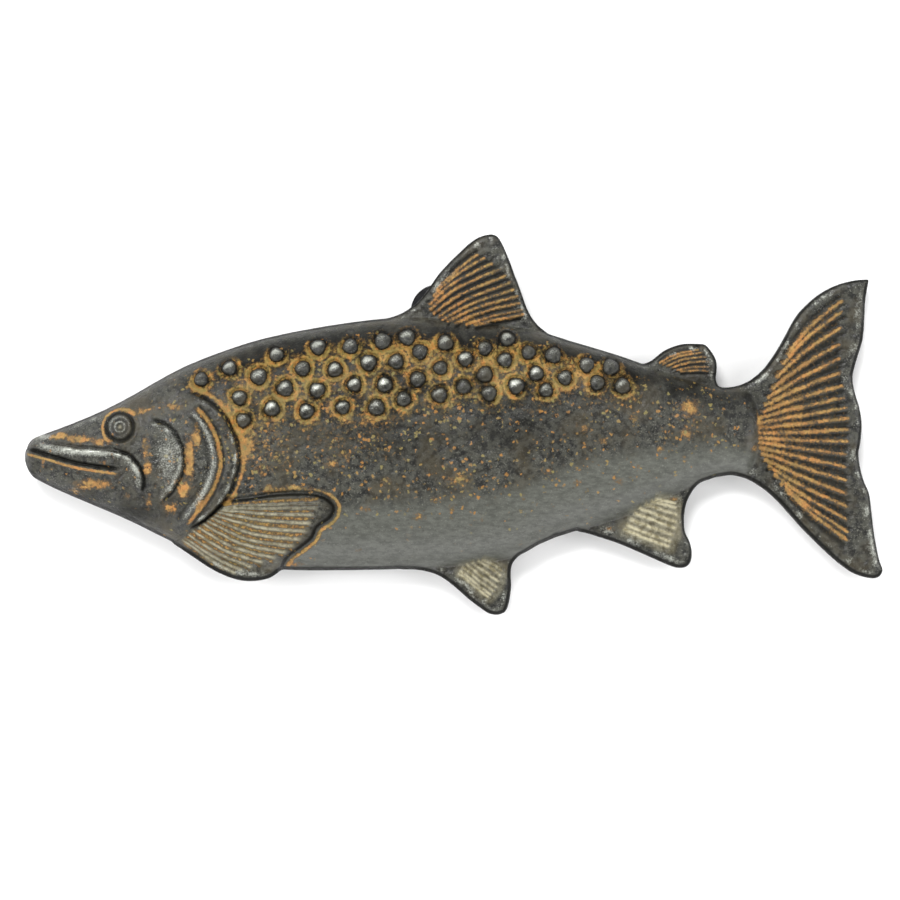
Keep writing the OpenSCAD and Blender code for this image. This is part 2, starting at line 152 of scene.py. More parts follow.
# Patches of finish: centre, radii along X and Y, and strength.
RUST_PATCHES = [
    (-38.2, -4.2, 1, 1.7, 1), (43.6, 3.2, 1.6, 1.4, 0.8), (43, -1.8, 1, 0.9, 0.7),
    (38, -4.6, 1, 0.8, 0.7), (33.2, 1, 0.9, 0.8, 0.6), (30.4, -10.6, 1.1, 0.7, 0.7),
    (34, -8, 0.7, 0.7, 0.5), (27.4, -3.2, 1.3, 1, 0.6), (23.8, -0.7, 1.6, 0.8, 0.6),
    (22.6, -11, 0.9, 0.7, 0.6), (16.8, -8.6, 1.2, 0.9, 0.6), (1, -10.2, 2.4, 1.4, 0.6),
    (-0.6, -15.6, 0.6, 1.1, 0.6), (12.6, -13.6, 0.5, 0.8, 0.5), (-3.6, -14, 0.9, 0.7, 0.6),
    (-6.4, -17.2, 1.6, 1, 0.6), (-16.4, -15.8, 0.9, 0.6, 0.6), (-18, -23.4, 1, 0.6, 0.4),
    (-23, -7.4, 1.4, 1, 0.6), (-20, -6, 0.9, 0.9, 0.5), (-12.6, -10.4, 0.9, 0.6, 0.5),
    (14.6, 2.4, 1.6, 0.6, 0.5), (42.8, -6.8, 0.7, 0.7, 0.4), (5, -17.6, 0.6, 1, 0.4),
    (-73.8, -2.1, 2.2, 0.8, 1.1), (-69.4, -2.7, 2.8, 0.9, 1.2), (-65.6, -3.3, 2, 0.7, 1),
    (-66.8, -11.2, 3.6, 1.1, 1.1), (-70.8, -12.6, 1.4, 0.9, 0.8), (-77.6, -3.9, 0.8, 0.3, 0.5),
    (-48.8, -6.6, 0.9, 4.2, 1.25), (-49.9, -11.8, 1.1, 1.8, 1.2), (-47.6, -2, 0.9, 2.4, 1),
    (-57.4, 2.4, 3.4, 0.9, 0.9), (-57, -4.2, 0.9, 2.8, 0.8), (-56.7, -8.2, 0.8, 1.3, 1.2),
    (-52.4, -15.4, 1.6, 1.1, 0.9), (-52.4, 3.2, 2.2, 0.8, 0.8), (-42.3, -14.7, 0.8, 0.6, 1),
    (-56.6, -14.2, 0.8, 2, 0.6), (-47, -14.2, 0.9, 1.6, 0.8), (-60.6, -13.4, 0.8, 0.8, 0.6),
    (-29.6, -11.6, 2.6, 0.6, 0.5), (-34, -11.8, 1.4, 0.8, 0.5), (-47.6, 7.2, 1, 1.2, 0.6),
    (-35.6, -8.6, 2, 1, 0.5), (35.6, 8.6, 1.2, 0.8, 0.4), (56.6, 0.4, 0.6, 2.6, 0.7),
    (56, -4.6, 0.8, 0.9, 0.7), (28.8, -19.6, 1.6, 0.8, 0.5), (41.2, -13.8, 1.2, 0.5, 0.6),
    (-29.4, -26.2, 2.2, 0.7, 0.7)]
SPECK_PATCHES = [
    (-35, -3, 9, 8, 1), (-20, -2, 14, 8, 0.8), (-4, 1.6, 18, 4, 0.55), (28, 2, 16, 6, 0.4),
    (44, 1, 8, 6, 0.75), (-4, -11, 20, 6, 0.46), (-50, -5, 7, 14, 0.3), (-66, -9, 12, 7, 0.16),
    (20, -7, 20, 6, 0.38), (-30, -14, 8, 9, 0.34), (14, -16, 26, 6, 0.16)]
DARK_PATCHES = [
    (43, 6.4, 6.5, 2.6, 0.95), (50.5, 4.4, 6, 2.4, 0.8), (-70, -13.8, 7, 1.6, 0.7),
    (-60, -16.4, 8, 2.2, 0.8), (58.4, -8, 1.6, 1.6, 0.5), (55.4, 2.6, 1.4, 3.2, 0.75),
    (-78.6, -8.4, 1.4, 2, 0.5), (-12, -3, 14, 3.6, 0.5), (12, -1, 10, 4, 0.6)]
OLIVE_PATCHES = [(-1, 4, 12, 3, 1), (1, -10, 4, 2.5, 1), (-62, 4, 8, 3, 0.6)]
# Scuffed grey patches on the head; those on the nose tip, the upper lip and the top of the snout are painted
# highlights as well.
RUB_AND_GLINT_PATCHES = [
    (-77.6, -2.2, 3, 0.9, 1), (-71, -5.2, 6, 0.7, 0.7), (-53, -6, 2.8, 6.5, 0.9), (-66, 0.6, 5, 1.2, 0.5),
    (-60, -9, 2, 3, 0.4), (-46.4, -8, 1.4, 6, 0.5), (-72, -12, 4, 1.4, 0.4)]
# Upper limit of the smooth, grey belly.
BELLY_TOP = [
    (-80, -22), (-52, -24), (-32, -22), (-20, -15), (0, -13), (12, -10.5), (24, -6), (40, -3.5), (54, -4),
    (60, -6), (82, -8)]


# ---------------- curves and fields
def curve_at(points, share):
    """Points of the smooth curve through the set points, at shares from 0 to 1 of its stretches."""
    p = np.asarray(points, float)
    p = np.vstack([p[:1], p, p[-1:]])
    u = np.clip(np.atleast_1d(share), 0, 1) * (len(points) - 1)
    i = np.minimum(u.astype(int), len(points) - 2)
    t = (u - i)[:, None]
    a, b, c, d = p[i], p[i + 1], p[i + 2], p[i + 3]
    return (2 * b + (c - a) * t + (2 * a - 5 * b + 4 * c - d) * t ** 2
            + (3 * b - a - 3 * c + d) * t ** 3) / 2


def curve(points, steps=6):
    """The smooth curve through the set points, with steps points to each stretch."""
    return curve_at(points, np.linspace(0, 1, (len(points) - 1) * steps + 1))


def line_at(points, x):
    """Value at x of a smooth line through points given in order of x."""
    px, py = np.asarray(points, float).T
    lean = np.gradient(py, px)
    lean[1:-1] = (py[2:] - py[:-2]) / (px[2:] - px[:-2])
    i = np.clip(np.searchsorted(px, x, side="right") - 1, 0, len(px) - 2)
    w = px[i + 1] - px[i]
    t = (x - px[i]) / w
    return (py[i] * (1 + 2 * t) * (1 - t) ** 2 + py[i + 1] * t ** 2 * (3 - 2 * t)
            + w * t * (1 - t) * (lean[i] * (1 - t) - lean[i + 1] * t))


def step(low, high, value):
    """Smooth step from 0 at low to 1 at high."""
    t = np.clip((value - low) / (high - low), 0, 1)
    return t * t * (3 - 2 * t)


def bell(distance, width):
    """1 at no distance, fading to 0 over about twice the width."""
    return np.exp(-(distance / width) ** 2)


def smooth_max(a, b, radius):
    """The larger of two heights, with a soft change from one to the other."""
    return (a + b + np.sqrt((a - b) ** 2 + radius ** 2)) / 2


def path_distance(x, y, path):
    """Distance to a path, the side of it that each point is on (1 on its left), and the share
    of the way along it."""
    a, b = path[:-1], path[1:]
    run = b - a
    best = np.full(len(x), np.inf)
    side = np.ones(len(x))
    share = np.zeros(len(x))
    for i, ((ax, ay), (dx, dy)) in enumerate(zip(a, run)):
        t = np.clip(((x - ax) * dx + (y - ay) * dy) / (dx * dx + dy * dy), 0, 1)
        gap_x = x - ax - t * dx
        gap_y = y - ay - t * dy
        gap = gap_x ** 2 + gap_y ** 2
        nearer = gap < best
        best = np.where(nearer, gap, best)
        side = np.where(nearer, np.where(dx * gap_y - dy * gap_x >= 0, 1, -1), side)
        share = np.where(nearer, (i + t) / len(a), share)
    return np.sqrt(best), side, share


def inside(x, y, loop):
    """Whether points lie inside a closed loop."""
    ax, ay = loop.T
    bx, by = np.roll(loop, -1, axis=0).T
    odd = np.zeros(len(x), bool)
    for i in range(len(loop)):
        if ay[i] != by[i]:
            crosses = (ay[i] > y) != (by[i] > y)
            odd ^= crosses & (x < ax[i] + (y - ay[i]) * (bx[i] - ax[i]) / (by[i] - ay[i]))
    return odd


def depth_inside(x, y, loop):
    """Distance inside a closed loop, negative outside it."""
    distance, _, _ = path_distance(x, y, np.vstack([loop, loop[:1]]))
    return np.where(inside(x, y, loop), distance, -distance)


def lattice(i, j, seed):
    """A number from -1 to 1 at each point of a lattice, always the same."""
    return 2 * np.modf(np.abs(np.sin(i * 127.1 + j * 311.7 + seed * 74.7)) * 43758.5453)[0] - 1


def grain(x, y, size, seed):
    """Smooth noise from -1 to 1 with lumps of about the given size."""
    u, v = x / size, y / size
    i, j = np.floor(u), np.floor(v)
    s, t = step(0, 1, u - i), step(0, 1, v - j)
    low = lattice(i, j, seed) * (1 - s) + lattice(i + 1, j, seed) * s
    high = lattice(i, j + 1, seed) * (1 - s) + lattice(i + 1, j + 1, seed) * s
    return low * (1 - t) + high * t


def rough(x, y, size, seed):
    """Fractal noise, roughly from -1 to 1: three layers, each half as large as the last. They
    lie askew, so that their lattices don't show."""
    turn_x, turn_y = x * 0.8 - y * 0.6, x * 0.6 + y * 0.8
    total = np.zeros(len(x))
    for k in range(3):
        total += grain(turn_x + 17 * k, turn_y - 31 * k, size / 2 ** k, seed + k) / 2 ** k
    return total / 1.5


def patches(x, y, spots):
    """Strength of finish that a list of soft-edged patches gives."""
    total = np.zeros(len(x))
    for cx, cy, rx, ry, strength in spots:
        total = np.maximum(total, strength * np.exp(-(((x - cx) / rx) ** 2 + ((y - cy) / ry) ** 2)))
    return total


# ---------------- the relief
# The layers painted into the colour: rust, specks, scuffed metal that also holds painted highlights, olive,
# the belly's grey, black that also holds painted shade, and the pale wash.
FINISHES_AND_PAINTED_LIGHT = ("rust", "specks", "wear", "olive", "belly", "dark", "pale")


class Relief:
    """Height, finish and painted light and shade over the plan of the casting. Each feature adds its own
    share.
    """

    def __init__(self, x, y, edge, facing):
        """edge: distance inside the outline. facing: how far the outline there faces +Y."""
        self.x, self.y, self.edge, self.facing = x, y, edge, facing
        self.finish = {name: np.zeros(len(x)) for name in FINISHES_AND_PAINTED_LIGHT}
        self.body()
        self.fins()
        self.head()
        self.eye()
        self.pectoral()
        self.spots()
        self.weathering()
        self.round_edge()

    def paint(self, name, amount, where=slice(None)):
        """Adds to one finish, at all points or at some of them."""
        self.finish[name][where] = np.clip(self.finish[name][where] + amount, 0, 1)

    def near(self, points, margin):
        """Indices of the relief's points within a margin of the box round some points."""
        low = np.min(points, axis=0) - margin
        high = np.max(points, axis=0) + margin
        return np.nonzero((self.x > low[0]) & (self.x < high[0])
                          & (self.y > low[1]) & (self.y < high[1]))[0]

    def body(self):
        """The trunk's rounded flanks, and the flat plate of the fins round it."""
        x = np.clip(self.x, NOSE_X + 0.02, TAIL_ROOT_X - 0.02)
        nose = np.clip((NOSE_X + NOSE_ROUND - x) / NOSE_ROUND, 0, 1)
        tail = np.clip((x - TAIL_ROOT_X + TAIL_ROUND) / TAIL_ROUND, 0, 1)
        end = np.sqrt(1 - np.maximum(nose, tail) ** 2)
        back, belly = line_at(BACK_LINE, x), line_at(BELLY_LINE, x)
        half = (back - belly) / 2 * end
        self.across = (self.y - (back + belly) / 2) / half
        crown = CROWN_HEIGHT * line_at(CROWN_LINE, x) * (0.4 + 0.6 * end)
        arch = np.maximum(1 - np.abs(self.across) ** FULLNESS, 0) ** (1 / FULLNESS)
        trunk = TRUNK_EDGE_HEIGHT * (arch > 0) + (crown - TRUNK_EDGE_HEIGHT) * arch
        trunk = np.where(self.x < TAIL_ROOT_X, trunk, 0)
        depth = np.where(self.x < TAIL_ROOT_X, (1 - np.abs(self.across)) * half, TAIL_ROOT_X - self.x)
        plate = FIN_THICKNESS - FIN_THINNING * step(0, FIN_THINNING_REACH, -depth)
        self.height = smooth_max(trunk, plate, BLEND) - BLEND / 8
        self.on_trunk = step(-0.3, 0.8, depth)

    def fins(self):
        """The fans of the five fins that stand on the edge."""
        # The dark of the panels between the rays is partly the fins' black and partly painted shade in the
        # valleys.
        brown = {"ridge": {"rust": 0.95}, "panel": {"dark": 0.95}}
        self.rays(DORSAL_RAYS, rise=0.5, **brown)
        self.rays(ADIPOSE_RAYS, rise=0.45, **brown)
        self.rays(TAIL_RAYS, rise=0.55, ridge={"rust": 1.0}, panel={"dark": 0.75, "rust": 0.27})
        for fan, silver, wash in ((ANAL_RAYS, 0.8, 0.25), (PELVIC_RAYS, 0.7, 0.2)):
            self.rays(fan, rise=0.34, ridge={"pale": silver, "olive": 0.3},
                      panel={"olive": 0.6, "rust": 0.25}, wash=wash)

    def rays(self, fan, rise, ridge, panel, sink=0.32, wash=0.0):
        """A fan of ridges in a panel that lies a little below the rim of the fin. ridge and panel
        are their finishes, and wash is a pale one over the whole fan."""
        shares = np.linspace(0, 1, fan.count)
        roots, middles, tips = (curve_at(c, shares) for c in (fan.roots, fan.middles, fan.tips))
        near = self.near(np.vstack([roots, middles, tips]), 2.0)
        x, y = self.x[near], self.y[near]
        x = x + RAY_WAVER * grain(x, y, RAY_WAVER_SIZE, seed=41)
        y = y + RAY_WAVER * grain(x, y, RAY_WAVER_SIZE, seed=42)
        gap = np.full(len(x), np.inf)
        along = np.zeros(len(x))
        for bend in zip(roots, middles, tips):
            ray = curve(bend, 4)
            distance, _, share = path_distance(x, y, ray)
            span = np.linalg.norm(ray[-1] - ray[0])
            beyond = np.where(share >= 1, distance, np.where(share <= 0, -distance, 0)) / span
            along = np.where(distance < gap, share + beyond, along)
            gap = np.minimum(distance, gap)
        pitches = [np.linalg.norm(np.diff(c, axis=0), axis=1).mean() for c in (roots, middles, tips)]
        pitch = np.interp(along, [0, 0.5, 1], pitches)
        ends = step(-0.02, 0.06, along) * (1 - step(0.93, 1.03, along))
        width = np.clip(fan.fill * pitch, *RAY_WIDTHS) * (1.08 - 0.3 * np.clip(along, 0, 1))
        crest = bell(gap, width) * ends
        trough = (1 - bell(gap, 1.3 * fan.fill * pitch)) * ends
        bed = (1 - step(0.5, 0.9, gap / pitch)) * ends
        self.height[near] += rise * crest - sink * bed
        self.paint("pale", wash * (1 - step(0.6, 1.6, gap / pitch)) * step(-0.2, 0.1, along), near)
        broken = 0.85 + 0.2 * grain(x, y, 1.6, seed=7)
        for name, amount in ridge.items():
            self.paint(name, amount * crest * broken, near)
        # The panel's dark is partly the fin's black and partly painted shade in the valleys between the
        # ridges.
        for name, amount in panel.items():
            self.paint(name, amount * np.minimum(bed, trough * 1.6), near)

    def line(self, points, margin=6.0):
        """Nearby points, their distance to a line, their side of it, and a fade at its ends."""
        near = self.near(points, margin)
        distance, side, share = path_distance(self.x[near], self.y[near], curve(points))
        return near, distance, side, step(0, 0.08, share) * (1 - step(0.9, 1, share))

    def groove(self, points, depth, width, shift=0.0, **finish):
        """A groove along a line, or beside it on its left, with its finish. A negative depth
        makes a ridge."""
        near, distance, side, fade = self.line(points)
        cut = bell(distance * side - shift, width) * fade
        self.height[near] -= depth * cut
        for name, amount in finish.items():
            self.paint(name, amount * cut, near)

    def ledge(self, points, rise, reach, crown=0.0, dark=1.1):
        """A step up on the left of a line, which falls away again within its reach. crown is an added ridge
        along its top, and dark the strength of the painted shade at its foot."""
        width = 0.5
        near, distance, side, fade = self.line(points, reach * 2)
        signed = distance * side + 0.15 * rough(self.x[near], self.y[near], 1.8, seed=71)
        up = step(0, width, signed) * np.exp(-np.maximum(signed, 0) / reach) * fade
        # A dark line at the foot of the step: painted shade.
        foot = bell(signed + 0.1, 0.3) * fade
        self.height[near] += rise * up + crown * bell(signed - 1.7, 1.1) * fade - 0.3 * foot
        # Scuffed metal along the top of the step; on the jaw it adds to the upper lip's painted highlight.
        rub_and_glint = step(-0.7, 0.7, rough(self.x[near], self.y[near], 1.5, seed=72))
        self.paint("wear", 0.6 * rub_and_glint * bell(signed - width - 0.1, 0.5) * fade, near)
        self.paint("dark", dark * foot, near)

    def head(self):
        """The edges of the gill cover, the cheek and the jaw, the mouth, and the scuffed places, some of
        them painted highlights. The dark at the feet of the edges and along the grooves is painted shade.
        """
        gill, jaw = GILL_EDGE[::-1], JAW_EDGE[::-1]
        # The dark at the feet of the ledges and in and beside the grooves is painted shade.
        self.ledge(gill, rise=0.95, reach=7.0, crown=0.25)
        self.groove(gill, depth=0.1, width=0.45, shift=-0.95, rust=0.75)
        self.groove(GILL_GROOVE, depth=0.55, width=0.42, rust=1.0)
        self.groove(GILL_GROOVE, depth=0.15, width=0.3, shift=0.65, dark=0.8)
        self.groove(GILL_GROOVE, depth=-0.45, width=0.6, shift=-1.2, wear=0.5)
        self.groove(GILL_GROOVE, depth=0.2, width=0.4, shift=-2.2, dark=0.5)
        self.ledge(CHEEK_EDGE[::-1], rise=0.75, reach=3.0)
        self.ledge(jaw, rise=0.6, reach=3.0, dark=0.25)
        self.groove(JAW_EDGE[4:], depth=0.15, width=0.32, dark=1.2)
        # A paler band along the upper lip above the jaw's edge: scuffing and a painted highlight.
        self.groove(jaw, depth=0.0, width=0.7, shift=1.1, wear=0.2)
        self.groove(MOUTH, depth=0.8, width=0.36, dark=1.1)
        self.groove(MOUTH, depth=-0.15, width=0.3, shift=-0.95, rust=1.1)
        # Scuffed patches, partly painted highlights on the nose tip, the upper lip and the top of the snout.
        self.paint("wear", 0.55 * patches(self.x, self.y, RUB_AND_GLINT_PATCHES))

    def eye(self):
        """A raised disc in a moat, with a ring and a pupil on it."""
        near = self.near([EYE], 5.0)
        dx, dy = self.x[near] - EYE[0], self.y[near] - EYE[1]
        q = np.hypot(dx, dy)

        def ring(radius, width):
            return bell(q - radius, width)

        disc = 1 - step(1.9, 2.3, q)
        moat = ring(2.55, 0.28)
        socket = ring(3.3, 0.36)
        self.height[near] += (0.35 * disc + 0.2 * ring(1.75, 0.3) - 0.45 * moat + 0.2 * socket
                              + 0.22 * ring(0.95, 0.24) - 0.15 * ring(0, 0.45))
        upper_left = 0.3 + 0.7 * step(-1.5, 2.0, dy - dx)
        self.paint("rust", socket * upper_left + 0.35 * ring(1.35, 0.2), near)
        self.paint("dark", 0.95 * moat + 0.6 * ring(1.4, 0.22) + 0.5 * ring(0.5, 0.2), near)
        self.paint("wear", 0.3 * ring(1.85, 0.25) + 0.45 * ring(0.95, 0.2), near)
        self.paint("pale", 0.45 * ring(0, 0.35), near)

    def pectoral(self):
        """The fin that lies on the flank, behind the gill cover."""
        loop = curve(PECTORAL + PECTORAL[:1])[:-1]
        near = self.near(loop, 3.0)
        x, y = self.x[near], self.y[near]
        depth = depth_inside(x, y, loop)
        plate = smooth_max(self.height[near] + PECTORAL_RISE, np.full(len(near), PECTORAL_HEIGHT), 1.0) - 0.1
        on = step(0, 0.55, depth)
        behind = step(-44, -41, x)
        self.height[near] += on * (plate - self.height[near]) - 0.35 * behind * bell(depth + 0.35, 0.4)
        for name in ("rust", "wear"):
            self.finish[name][near] *= 1 - on
        # Painted shade along the fin's edge behind the gill cover, wider along its right and lower side.
        right = step(-33, -25, x - 0.6 * y - 13)
        rim = bell(depth - 0.05, 0.35) + 0.7 * right * bell(depth - 0.6, 0.6)
        halo = bell(depth + 0.95, 0.42) * behind
        self.paint("dark", behind * rim, near)
        self.paint("rust", halo * (0.4 + 0.6 * right), near)
        self.paint("olive", 0.5 * halo, near)
        self.off_pectoral = np.ones(len(self.x))
        self.off_pectoral[near] = 1 - on
        self.rays(PECTORAL_RAYS, rise=0.42, sink=0.22, ridge={"pale": 0.66},
                  panel={"rust": 0.66, "olive": 0.3, "dark": 0.35}, wash=0.05)
        self.finish["pale"][near] *= 1 - 0.6 * step(-18, -14, y + 0.1 * x + 3)

    def spots(self):
        """Round studs, each in a moat with a low rim. Each dome carries a painted highlight on its upper
        left, and painted shade on its lower side and in a ring round its foot.
        """
        gap = np.full(len(self.x), 1.5 * SPOT_REACH)
        radius = np.ones(len(self.x))
        glint_strength = np.zeros(len(self.x))
        lean = np.zeros(len(self.x))
        for k, (cx, cy) in enumerate(SPOTS):
            own = SPOT_RADIUS * (1 + 0.08 * lattice(k, 3, seed=5))
            near = self.near([(cx, cy)], SPOT_REACH)
            dx, dy = self.x[near] - cx, self.y[near] - cy
            q = np.hypot(dx, dy) * (1 + 0.05 * np.sin(3 * np.arctan2(dy, dx) + k)) - own
            nearer = q < gap[near]
            closer = near[nearer]
            gap[closer] = q[nearer]
            radius[closer] = own
            glint_strength[closer] = lattice(k, 1, seed=9)
            lean[closer] = ((dy - 0.4 * dx) / own)[nearer]
        dome = np.sqrt(np.maximum(1 - np.maximum(1 + gap / radius, 0) ** 2, 0))
        moat = bell(gap - 0.22, 0.26)
        rim = bell(gap - 0.72, 0.34)
        self.height += SPOT_HEIGHT * dome - 0.32 * moat + 0.16 * rim
        self.spot_gap = gap
        patchy = 0.56 + 0.65 * rough(self.x, self.y, 2.2, seed=51)
        stain = step(0.9, 0.75, dome) * (gap < 3)
        # Painted shade: a dark ring round the foot of each dome, and its lower side darker.
        foot = bell(gap - 0.04, 0.2)
        shaded = step(0.0, 0.5, dome) * step(0.5, -0.5, lean)
        # Painted highlight: the upper left of each dome paler, stronger on some domes than on others.
        rub_and_glint = step(0.35, 0.95, dome) * step(-0.5, 0.6, lean)
        self.paint("rust", (0.3 * moat + 0.6 * rim) * patchy * stain)
        self.paint("olive", rim * (0.45 + 0.5 * grain(self.x, self.y, 4.0, seed=52)))
        # The domes' painted shade goes into the dark finish, and their painted highlight into the
        # scuffed-metal finish.
        self.paint("dark", (0.7 + 0.3 * patchy) * foot + 0.3 * shaded)
        self.paint("wear", (0.66 + 0.36 * glint_strength) * rub_and_glint)
        self.paint("olive", step(0.0, 0.5, dome))

    def weathering(self):
        """Rust paint in patches, the smooth belly, and the lumps and pits of the cast skin."""
        x, y = self.x, self.y
        coarse = rough(x, y, 2.2, seed=11)
        fine = rough(x, y, 0.9, seed=12)
        belly = step(-1.5, 3.5, line_at(BELLY_TOP, x) - y + 1.2 * rough(x, y, 5.0, seed=3))
        belly *= self.on_trunk * self.off_pectoral * step(-52, -40, x)
        off_spots = step(-0.1, 0.1, self.spot_gap)
        among_spots = (1 - step(1.0, 4.0, self.spot_gap)) * (1 - step(0.78, 0.95, self.across))
        between_spots = off_spots * among_spots
        self.paint("rust", between_spots * (0.43 + 0.24 * coarse))
        self.paint("specks", between_spots * 0.5)
        self.paint("olive", among_spots * 0.45)
        self.paint("dark", between_spots * (0.5 - 0.5 * coarse))
        self.paint("olive", 0.25 + 0.5 * rough(x, y, 9.0, seed=21) + 0.8 * patches(x, y, OLIVE_PATCHES))
        specks = patches(x, y, SPECK_PATCHES) * self.on_trunk * (1 - among_spots) * self.off_pectoral
        self.paint("specks", specks * off_spots)
        self.paint("rust", 0.35 * specks * off_spots)
        self.paint("rust", patches(x, y, RUST_PATCHES) * (0.88 + 0.6 * fine) * off_spots)
        # Darker patches, and a darker band along the upper slope of the trunk behind the head.
        shoulder = step(0.62, 0.8, self.across) * (1 - step(0.9, 0.99, self.across)) * step(-52, -36, x)
        darker_patches = np.maximum(patches(x, y, DARK_PATCHES), 0.75 * shoulder * off_spots)
        self.paint("dark", darker_patches * (0.8 + 0.4 * coarse))
        # The belly darker towards its lower edge.
        self.paint("dark", 0.22 * belly * step(-0.45, -0.9, self.across))
        self.finish["belly"] = belly
        cast = (1 - 0.85 * belly) * off_spots
        self.height += cast * (0.15 * coarse + 0.1 * fine) + 0.05 * rough(x, y, 6.0, seed=31)
        self.height -= cast * 0.12 * step(0.35, 0.8, rough(x, y, 0.8, seed=33))

    def round_edge(self):
        """Rounds the edge of the top. It is black there, and the black reaches further in on the lower side
        as painted shade. Just inside the black it is scuffed, more on the fins, with a painted highlight
        added on the upper side."""
        over = np.clip((EDGE_ROUND - self.edge) / EDGE_ROUND, 0, 1)
        self.height -= EDGE_ROUND * (1 - np.sqrt(1 - over ** 2))
        for name in ("rust", "belly", "olive", "pale"):
            self.finish[name] *= step(0.4, 1.0, self.edge)
        # lower: how far the outline faces down the view. The painted shade widens there, and the painted
        # highlight stays off it.
        lower = step(0.35, -0.35, self.facing)
        in_fin = 1 - self.on_trunk
        reach = 0.2 + 0.32 * lower + 0.12 * grain(self.x, self.y, 1.7, seed=62)
        # The black edge; its extra width on the lower side is painted shade.
        self.paint("dark", 1.2 * (1 - step(reach, reach + 0.4, self.edge)))
        fleck = step(-0.5, 0.8, rough(self.x, self.y, 1.4, seed=61))
        crest = bell(self.edge - reach - 0.65, 0.5)
        # Scuffed metal just inside the black, more on the fins, with a painted highlight on the upper side.
        self.paint("wear", crest * fleck * (0.2 + 0.28 * in_fin + 0.14 * (1 - lower)))
        self.paint("wear", 0.36 * in_fin * bell(self.edge - 1.9, 0.85) * fleck)


# ---------------- the casting's mesh
OUTLINE_PITCH = 0.25
OUTLINE_SMOOTHING = 3
FINE_PITCH = 0.25
COARSE_PITCH = 0.48
BACK_PITCH = 2.0
EDGE_RINGS = (0.14, 0.32, 0.55, 0.84, 1.2)  # distances of rings of points inside the outline
SPOT_DETAIL_RADIUS = 3.0
PECTORAL_DETAIL = np.array([(-56, -34), (-56, -12), (-20, -10), (-20, -34)], float)
BACK_MARGIN = 1.0
HOLE_MARGIN = 0.8
HOLE_TURNS = 96
LIP_ROUND = 0.25
FLOOR_FILLET = 0.8
FOOT_ROUND = 0.3
WALL_SHARES = (0.6, 0.25, 0.0)  # heights of the wall's rings, as shares of the wall
FLAT_TOLERANCE = 0.005
WALL_TOLERANCE = 0.01
BARE = {name: 0.8 * (name == "dark") for name in FINISHES_AND_PAINTED_LIGHT}  # the finish of the sides and the back

Hole = namedtuple("Hole", "centre radius depth")


def cad_points():
    """The vertices of the CAD casting, in millimetres."""
    return np.array([v.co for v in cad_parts[CASTING].data.vertices]) / MM


def back_loops():
    """Closed loops round the flat back of the CAD casting, in millimetres, the outline first."""
    points = cad_points()
    keys = [tuple(p) for p in np.round(points, 3)]
    flat = np.abs(points[:, 2] - BACK_Z) < FLAT_TOLERANCE
    directed = set()
    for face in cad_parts[CASTING].data.polygons:
        if all(flat[v] for v in face.vertices):
            corners = [keys[v] for v in face.vertices]
            directed.update(zip(corners, corners[1:] + corners[:1]))
    follow = {a: b for a, b in directed if (b, a) not in directed}
    loops = []
    while follow:
        first, here = follow.popitem()
        loop = [first]
        while here in follow:
            loop.append(here)
            here = follow.pop(here)
        loops.append(np.array(loop)[:, :2])
    return sorted(loops, key=lambda loop: -np.ptp(loop[:, 0]))


def hole_of(loop):
    """The blind hole whose rim is this loop in the CAD back."""
    centre = (loop.min(0) + loop.max(0)) / 2
    radius = np.ptp(loop[:, 0]) / 2
    points = cad_points()
    on_wall = np.abs(np.hypot(*(points[:, :2] - centre).T) - radius) < WALL_TOLERANCE
    levels = points[on_wall, 2]
    return Hole(centre, radius, levels[levels > BACK_Z + 0.5].min() - BACK_Z)


def resample(loop, pitch):
    """The loop again, with points an even distance apart."""
    closed = np.vstack([loop, loop[:1]])
    lengths = np.concatenate([[0], np.cumsum(np.linalg.norm(np.diff(closed, axis=0), axis=1))])
    at = np.linspace(0, lengths[-1], int(lengths[-1] / pitch), endpoint=False)
    return np.stack([np.interp(at, lengths, closed[:, k]) for k in (0, 1)], axis=1)


def softened(loop, rounds):
    """The loop with each point drawn towards its neighbours."""
    for _ in range(rounds):
        loop = loop / 2 + (np.roll(loop, 1, axis=0) + np.roll(loop, -1, axis=0)) / 4
    return loop


def outward(loop):
    """Unit normals that point out of an anticlockwise loop."""
    run = np.roll(loop, -1, axis=0) - np.roll(loop, 1, axis=0)
    return np.stack([run[:, 1], -run[:, 0]], axis=1) / np.linalg.norm(run, axis=1)[:, None]


def anticlockwise(loop):
    """The loop, turned round if it runs clockwise."""
    x, y = loop.T
    area = np.sum(x * np.roll(y, -1) - np.roll(x, -1) * y)
    return loop if area > 0 else loop[::-1]


class Outline:
    """The casting's edge in plan, with even points, and finer ones to measure from."""

    def __init__(self, loop):
        even = resample(anticlockwise(loop), OUTLINE_PITCH)
        self.points = resample(softened(even, OUTLINE_SMOOTHING), OUTLINE_PITCH)
        self.normals = outward(self.points)
        self.fine = resample(self.points, OUTLINE_PITCH / 4)
        self.fine_normals = outward(self.fine)
        self.tree = kdtree.KDTree(len(self.fine))
        for i, (x, y) in enumerate(self.fine):
            self.tree.insert((x, y, 0), i)
        self.tree.balance()

    def inset(self, distance):
        """The outline drawn in by a distance."""
        return self.points - self.normals * distance

    def filled(self, pitch):
        """A triangular lattice of points inside the outline."""
        low, high = self.points.min(0), self.points.max(0)
        rows = []
        for k, y in enumerate(np.arange(low[1], high[1], pitch * math.sqrt(3) / 2)):
            x = np.arange(low[0] + (k % 2) * pitch / 2, high[0], pitch)
            rows.append(np.stack([x, np.full(len(x), y)], axis=1))
        points = np.vstack(rows)
        return points[inside(points[:, 0], points[:, 1], self.points)]

    def nearest(self, points):
        """Distance inside the outline, the way out, and how far the outline there faces +Y."""
        found = np.array([self.tree.find((x, y, 0))[1] for x, y in points])
        gap = self.fine[found] - points
        distance = np.linalg.norm(gap, axis=1)
        return distance, gap / np.maximum(distance, 1e-6)[:, None], self.fine_normals[found, 1]


